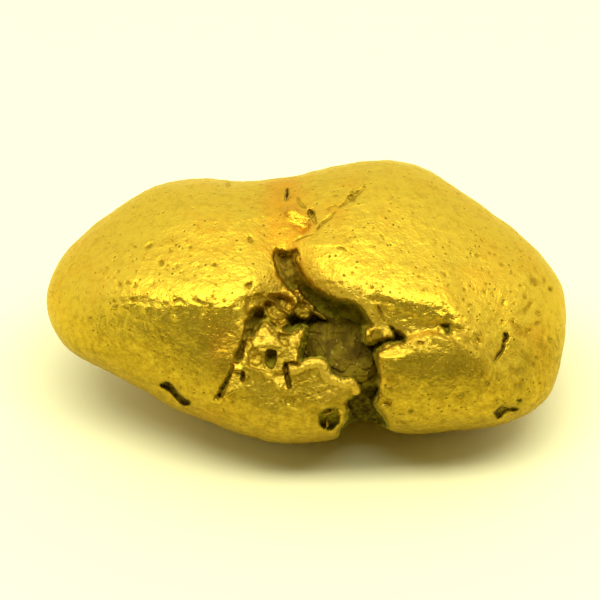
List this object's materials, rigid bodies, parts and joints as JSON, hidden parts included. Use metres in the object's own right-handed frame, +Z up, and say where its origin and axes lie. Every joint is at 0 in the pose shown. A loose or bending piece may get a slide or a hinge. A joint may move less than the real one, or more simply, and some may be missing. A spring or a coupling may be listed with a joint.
{
  "type": "gold nugget",
  "caption": "Waterworn native gold nugget of rounded lobes joined at a waist, with a torn crevice that holds iron-stained quartz, lying on its worn underside.",
  "frame": {"origin": "middle of the bounding box's bottom face, on the table the nugget lies on", "axes": "+X along the nugget's length towards its blunt, fuller lobe; +Z up; the torn crevice faces -Y"},
  "size_m": [0.014, 0.0089, 0.0063],
  "materials": {
    "native_gold": null,
    "stained_quartz": "rough, stained brown by iron"
  },
  "bodies": {
    "root": {"gold_nugget": "native_gold", "quartz_remnant": "stained_quartz"}
  },
  "joints": []
}
